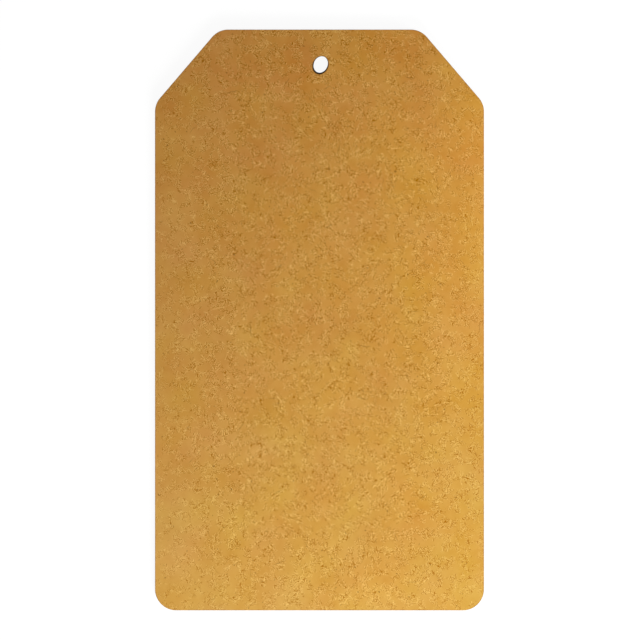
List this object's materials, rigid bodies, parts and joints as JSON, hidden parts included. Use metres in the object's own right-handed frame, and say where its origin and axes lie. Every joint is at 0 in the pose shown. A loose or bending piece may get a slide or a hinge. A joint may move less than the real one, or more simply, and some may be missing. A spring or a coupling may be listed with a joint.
{
  "type": "hanging tag",
  "caption": "Flat blank hanging tag of bare brown fibreboard, with sloping shoulders, rounded corners and a small round string hole at the top.",
  "frame": {"origin": "centre of the back face's bounding rectangle: the tag lies on its back face", "axes": "+Y along the length towards the hole end, +X to the tag's right, +Z out of the front face through the thickness"},
  "size_m": [0.085, 0.15, 0.003],
  "materials": {
    "fibreboard": "bare medium-density fibreboard, matt, with short dark and pale fibres and darker laser-cut walls"
  },
  "bodies": {
    "root": {"tag_board": "fibreboard"}
  },
  "joints": []
}
